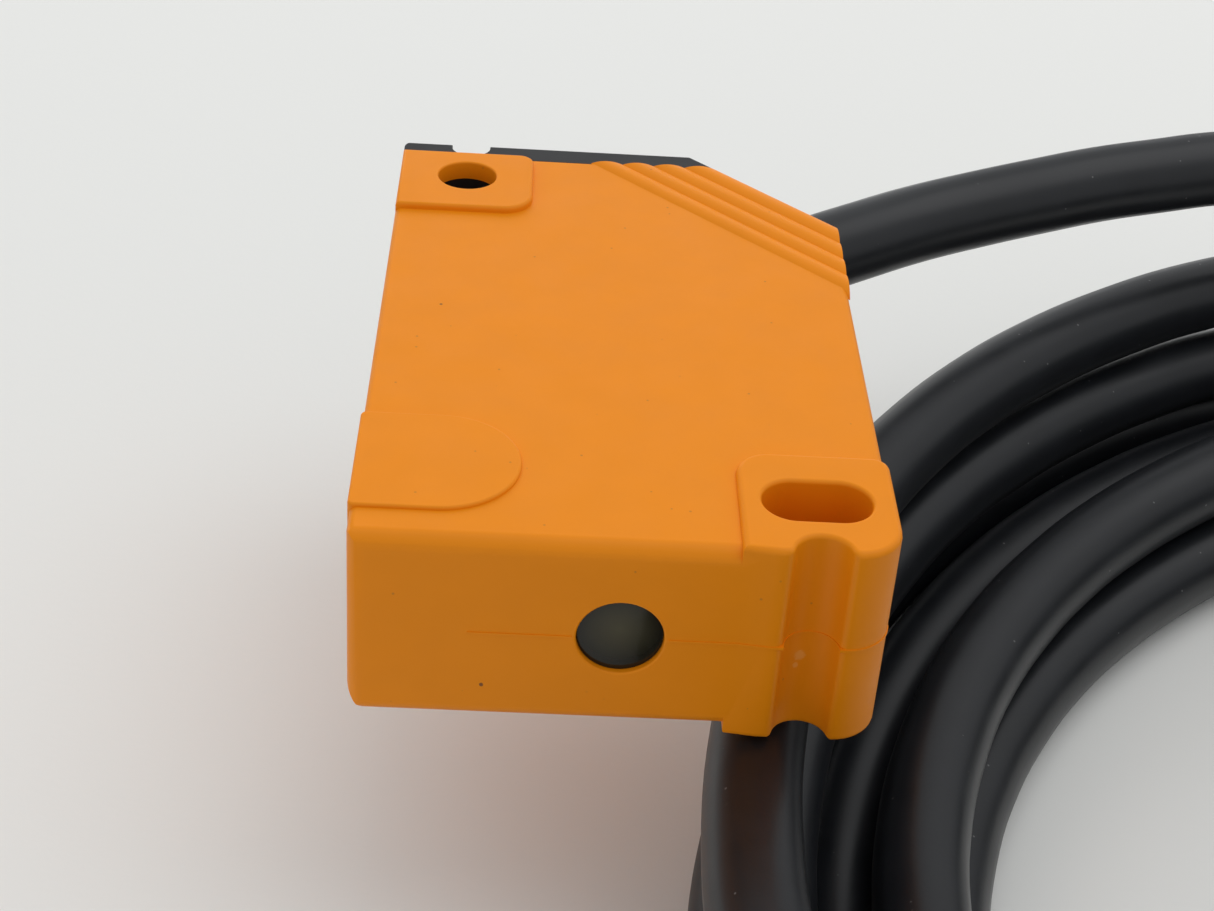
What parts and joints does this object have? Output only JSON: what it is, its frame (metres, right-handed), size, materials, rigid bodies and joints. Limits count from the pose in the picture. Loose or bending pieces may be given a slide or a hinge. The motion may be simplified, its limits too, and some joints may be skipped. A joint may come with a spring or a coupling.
{
  "type": "photoelectric sensor",
  "caption": "Small flat rectangular photoelectric sensor with one round lens, fixing hole and slot, black end cap with adjuster, and a coiled cable ending in bare leads.",
  "frame": {"origin": "centre of the round fixing hole at the middle of the housing's thickness", "axes": "+Z along the fixing hole out of a broad face; +Y along the housing towards the end cap, so the lens looks along -Y; +X towards the cable's corner"},
  "size_m": [0.1164, 0.1178, 0.0279],
  "materials": {
    "housing": "satin moulded",
    "black_plastic": "fine matte",
    "lens": "polished",
    "filter": "polished",
    "chip_plastic": "matte",
    "board": "lacquered",
    "pin_metal": "plated",
    "tinned_steel": "tinned",
    "ceramic": "fired",
    "green_led": "clear cast",
    "yellow_led": "clear cast",
    "clear_plastic": "polished",
    "trimmer_blue": "moulded",
    "spindle_white": "moulded",
    "black_rubber": "matte",
    "cable_jacket": "satin",
    "wire_brown": "extruded",
    "wire_white": "extruded",
    "wire_blue": "extruded",
    "wire_black": "extruded"
  },
  "bodies": {
    "sensor": {"housing": "housing", "rear_cover": "black_plastic", "lens": "lens", "lens_barrel": "black_plastic", "filter_disc": "filter", "aperture_disc": "black_plastic", "photodiode": "chip_plastic", "sensor_board": "board", "board_pins": "pin_metal", "shield_can": "tinned_steel", "main_board": "board", "signal_ic": "chip_plastic", "regulator": "chip_plastic", "output_transistor": "chip_plastic", "smd_capacitors": "ceramic", "smd_resistors": "chip_plastic", "power_led": "green_led", "status_led": "yellow_led", "light_pipe": "clear_plastic", "indicator_window": "clear_plastic", "trimmer_body": "trimmer_blue", "trimmer_seal": "black_rubber", "cable_gland": "black_rubber", "cable_clamp": "tinned_steel", "wire_brown": "wire_brown", "wire_white": "wire_white", "wire_blue": "wire_blue", "wire_black": "wire_black", "cable_lead": "cable_jacket", "cable_coil": "cable_jacket", "cable_tie": "black_plastic", "lead_brown": "wire_brown", "lead_white": "wire_white", "lead_blue": "wire_blue", "lead_black": "wire_black", "wire_ferrules": "tinned_steel"},
    "adjuster": {"trimmer_spindle": "spindle_white"}
  },
  "joints": [
    {"name": "adjuster_turn", "type": "hinge", "parent": "sensor", "child": "adjuster", "pos_m": [0.0111, 0, 0.0008], "axis": [0, 1, 0], "range_deg": [-135, 135]}
  ]
}
